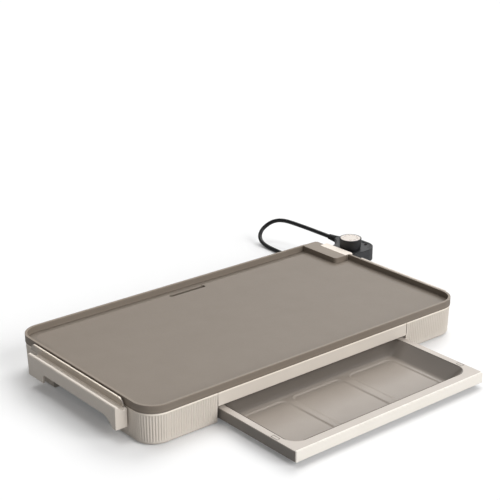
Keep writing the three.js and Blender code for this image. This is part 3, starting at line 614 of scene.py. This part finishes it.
enamel, shader = finish("satin_enamel", Roughness=0.4, IOR=1.5)
mottle(enamel, shader, "a1978d", "9d9389", 40)
grain(enamel, shader, 1.4, 0.03, rough=(0.34, 0.44))
height_tone(enamel, shader, PAN_WALL_SHADE_TONES)
pan_x = np.linspace(PAN_RIM[0], PAN_RIM[1], 261)
pan_y = np.linspace(PAN_RIM[2], PAN_RIM[3], 123)
pan_z = pan_height(*np.meshgrid(pan_x, pan_y, indexing="ij"))
pan = pressed_sheet("enamelled_pan", pan_x, pan_y, pan_z, PAN_SHEET)
pan.data.materials.append(enamel)
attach(pan, "drawer")
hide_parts("warming_pan")

# ---------------------------------------------------------------- control
# The heat control is a black housing in two halves, with a round dial, a pale printed face on the dial and
# a small indicator lens. The lid's top carries painted shade, darker than round its sides.
# Painted shade on the lid's top and its grip ribs.
LID_TOP_SHADE_TONES = [(49.5, 1.0), (51.6, 0.55)]
control_plastic = moulded("control_phenolic", "38393b", "343537", (0.4, 0.52), 0.7, 0.05, LID_TOP_SHADE_TONES)
soften("control_housing_lower", control_plastic, 0.8)
soften("control_housing_upper", control_plastic, 1.4)
dial_plastic = moulded("dial_phenolic", "212123", "1b1b1d", (0.34, 0.44), size=0.7)
soften("dial_knob", dial_plastic, 0.5)
print_paper, shader = finish("printed_disc", Roughness=0.35, IOR=1.5)
mottle(print_paper, shader, "f0e7de", "ece3da", 8)
soften("dial_face", print_paper, 0.2)
smoked, shader = finish("indicator_polycarbonate", Roughness=0.12, IOR=1.58)
mottle(smoked, shader, "2e2624", "261f1d", 3)
soften("indicator_lens", smoked, 0.3)

# Three raised ribs run round the free end of the housing's lid, as a grip for pulling the control out.
# Each rib thins out at both ends.
END_CENTRE = (338.5, 110.0)
LID_TOP = 52.0
RIB_RADII = (18.6, 21.1, 23.6)
RIB_REACH = 78
RIB_HEIGHT = 0.62
RIB_FADE = 8
RIB_LEAST = 0.02
for i, radius in enumerate(RIB_RADII):
    a = np.radians(np.linspace(-RIB_REACH, RIB_REACH, 60))
    line = np.stack([END_CENTRE[0] + radius * np.cos(a), END_CENTRE[1] + radius * np.sin(a),
                     np.full_like(a, LID_TOP)], axis=1)
    thickness = RIB_HEIGHT * np.sqrt(np.clip(1 - (a / a[-1]) ** RIB_FADE, RIB_LEAST, 1))
    rib = skin("grip_rib_%d" % (i + 1), tube(line, thickness, 10), crease=60)
    rib.data.materials.append(control_plastic)
    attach(rib, "control")

# The dial's scale is pad-printed on its face: a long stroke and a number for each setting, short strokes
# between the settings, and a ring for off.
DIAL_CENTRE = (321.5, 110.0)
PRINT_LOW = 70.38
PRINT_HIGH = 70.44
SETTINGS = ("100", "150", "200", "250", "300", "350", "400")
OFF_ANGLE = 140.0
FIRST_SETTING = 45.0
SETTING_STEP = 38.0
LONG_STROKE = (13.9, 15.7, 0.5)
SHORT_STROKE = (14.6, 15.7, 0.35)
NUMBER_RADIUS = 11.2
NUMBER_HEIGHT = 3.3
OFF_RADIUS = 12.6
RING_RADIUS = 1.5
RING_LINE = 0.09


def strokes(angles, start, end, width):
    """Thin boxes that point at the dial's middle: each reaches from radius start to radius end. With out the
    unit vector at its angle, and side the one square to it, its corners are out * r +- side * width / 2."""
    a = np.radians(angles)
    out = np.stack([np.cos(a), np.sin(a)], axis=1)
    side = np.stack([-np.sin(a), np.cos(a)], axis=1) * width / 2
    flat = np.stack([out * start - side, out * end - side, out * end + side, out * start + side], axis=1)
    flat = flat + DIAL_CENTRE
    low = np.concatenate([flat, np.full((*flat.shape[:2], 1), PRINT_LOW)], axis=2)
    high = np.concatenate([flat, np.full((*flat.shape[:2], 1), PRINT_HIGH)], axis=2)
    points = np.concatenate([low, high], axis=1).reshape(-1, 3)
    box = np.array([(3, 2, 1, 0), (4, 5, 6, 7), (0, 1, 5, 4), (1, 2, 6, 5), (2, 3, 7, 6), (3, 0, 4, 7)])
    return points, (box[None] + 8 * np.arange(len(a))[:, None, None]).reshape(-1, 4)


def number(text, angle, radius, height):
    """A number's points and faces. A point (u, v) of the flat number goes to radius + v along the angle's
    unit vector and u square to it, so that its feet are towards the dial's middle."""
    letters = bpy.data.curves.new("number", "FONT")
    letters.body = text
    letters.size = height
    letters.align_x = "CENTER"
    letters.align_y = "CENTER"
    letters.extrude = (PRINT_HIGH - PRINT_LOW) / 2
    letters.resolution_u = 3
    holder = bpy.data.objects.new("number", letters)
    mesh = bpy.data.meshes.new_from_object(holder)
    flat = np.zeros(len(mesh.vertices) * 3)
    mesh.vertices.foreach_get("co", flat)
    flat = flat.reshape(-1, 3)
    a = math.radians(angle)
    x = DIAL_CENTRE[0] + (radius + flat[:, 1]) * math.cos(a) + flat[:, 0] * math.sin(a)
    y = DIAL_CENTRE[1] + (radius + flat[:, 1]) * math.sin(a) - flat[:, 0] * math.cos(a)
    points = np.stack([x, y, flat[:, 2] + (PRINT_LOW + PRINT_HIGH) / 2], axis=1)
    corners = np.zeros(len(mesh.loops), np.int32)
    mesh.loops.foreach_get("vertex_index", corners)
    starts = np.zeros(len(mesh.polygons), np.int32)
    mesh.polygons.foreach_get("loop_start", starts)
    bpy.data.objects.remove(holder)
    bpy.data.curves.remove(letters)
    bpy.data.meshes.remove(mesh)
    return points, np.split(corners, starts[1:])


places = OFF_ANGLE - FIRST_SETTING - SETTING_STEP * np.arange(len(SETTINGS))
parts = [strokes(places, *LONG_STROKE), strokes((places[1:] + places[:-1]) / 2, *SHORT_STROKE)]
parts += [number(text, angle, NUMBER_RADIUS, NUMBER_HEIGHT) for text, angle in zip(SETTINGS, places)]
points = np.vstack([p for p, faces in parts])
starts = np.cumsum([0] + [len(p) for p, faces in parts])
faces = [(face + start).tolist() for (p, faces), start in zip(parts, starts) for face in faces]
dial_scale = linked("dial_scale", points, faces)
ink, shader = finish("pad_printed_ink", Roughness=0.5, IOR=1.5)
mottle(ink, shader, "8f6f66", "84655c", 2)
dial_scale.data.materials.append(ink)
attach(dial_scale, "dial")

a = np.radians(np.linspace(0, 360, 33))
off = math.radians(OFF_ANGLE)
x = DIAL_CENTRE[0] + OFF_RADIUS * math.cos(off) + RING_RADIUS * np.cos(a)
y = DIAL_CENTRE[1] + OFF_RADIUS * math.sin(off) + RING_RADIUS * np.sin(a)
line = np.stack([x, y, np.full_like(a, PRINT_LOW)], axis=1)
off_ring = skin("dial_off_ring", tube(line, RING_LINE, 8), crease=60)
off_ring.data.materials.append(ink)
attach(off_ring, "dial")

# ---------------------------------------------------------------- metal parts
# Screws, studs, pins and the sensing rod are bright steel, the shield and rails are rolled sheet, the
# element's sheath is darkened by heat, and the thermostat, the contacts and the plug's blades are brass.
steel, shader = finish("bright_steel", Metallic=1.0, Roughness=0.3)
mottle(steel, shader, "c6c8ca", "b9bbbd", 6)
grain(steel, shader, 0.8, 0.02, rough=(0.24, 0.38))
for name in (*["base_screw_" + c for c in CORNERS], *["plate_stud_%d" % i for i in (1, 2, 3, 4)],
             "terminal_pin_1", "terminal_pin_2", "sensing_rod", "probe_socket_tube", "housing_screw_1",
             "housing_screw_2"):
    soften(name, steel, 0.3)
sheet, shader = finish("rolled_steel_sheet", Metallic=1.0, Roughness=0.42)
mottle(sheet, shader, "bcbec0", "a9abad", 20)
grain(sheet, shader, 1.2, 0.02, rough=(0.36, 0.5))
for name in ("heat_shield", "drawer_rail_left", "drawer_rail_right", "drip_rail_left", "drip_rail_right"):
    soften(name, sheet, 0.3)
sheath, shader = finish("oxidised_sheath", Metallic=1.0, Roughness=0.5)
mottle(sheath, shader, "746c62", "5c5650", 12)
soften("heating_element", sheath, 0.3)
brass, shader = finish("plain_brass", Metallic=1.0, Roughness=0.3)
mottle(brass, shader, "cfab62", "bf9950", 6)
for name in ("contact_sleeve_1", "contact_sleeve_2", "thermostat_switch", "plug_blade_1", "plug_blade_2"):
    soften(name, brass, 0.3)

# ---------------------------------------------------------------- studio
# Four broad lamps, from the right, above, the front and the left, over a plain pale floor and a white sky.
# The floor and the sky look brighter to the camera than they are as light: each value has its strength
# as light first and as seen second.
FLOOR_TONE = (0.5, 0.86)
FLOOR_GLOW = 0.12
SKY_STRENGTH = (0.12, 1.0)
corners = [(-12, -12, 0), (12, -12, 0), (12, 12, 0), (-12, 12, 0)]
floor_mesh = bpy.data.meshes.new("studio_floor")
floor_mesh.from_pydata(corners, [], [(0, 1, 2, 3)])
floor = bpy.data.objects.new("studio_floor", floor_mesh)
bpy.context.collection.objects.link(floor)
pale, shader = finish("pale_floor", Roughness=0.9, Specular_IOR_Level=0.0, Emission_Color=(1, 1, 1, 1))
seen = add(pale, "LightPath").outputs["Is Camera Ray"]
tone = add(pale, "MapRange", {"Value": seen, "To Min": FLOOR_TONE[0], "To Max": FLOOR_TONE[1]})
glow = add(pale, "Math", {0: seen, 1: FLOOR_GLOW}, operation="MULTIPLY")
pale.node_tree.links.new(tone.outputs["Result"], shader.inputs["Base Color"])
pale.node_tree.links.new(glow.outputs["Value"], shader.inputs["Emission Strength"])
floor_mesh.materials.append(pale)


def sun(name, towards, strength, spread):
    """A sun lamp that stands in the direction towards, with an angular size of spread degrees."""
    lamp = bpy.data.lights.new(name, "SUN")
    lamp.energy = strength
    lamp.angle = math.radians(spread)
    thing = bpy.data.objects.new(name, lamp)
    thing.rotation_mode = "QUATERNION"
    thing.rotation_quaternion = Vector(towards).to_track_quat("Z", "Y")
    bpy.context.collection.objects.link(thing)


sun("key", (0.62, 0.34, 0.71), 1.6, 44)
sun("above", (0.0, 0.25, 0.97), 0.75, 30)
sun("front", (0.28, -0.85, 0.45), 2.15, 44)
sun("left_fill", (-0.58, -0.72, 0.38), 0.32, 60)
world = bpy.data.worlds.new("studio")
world.use_nodes = True
sky = world.node_tree.nodes["Background"]
sky.inputs["Color"].default_value = (1, 1, 1, 1)
seen = add(world, "LightPath").outputs["Is Camera Ray"]
strength = add(world, "MapRange", {"Value": seen, "To Min": SKY_STRENGTH[0], "To Max": SKY_STRENGTH[1]})
world.node_tree.links.new(strength.outputs["Result"], sky.inputs["Strength"])
bpy.context.scene.world = world
bpy.context.scene.view_settings.view_transform = "Standard"
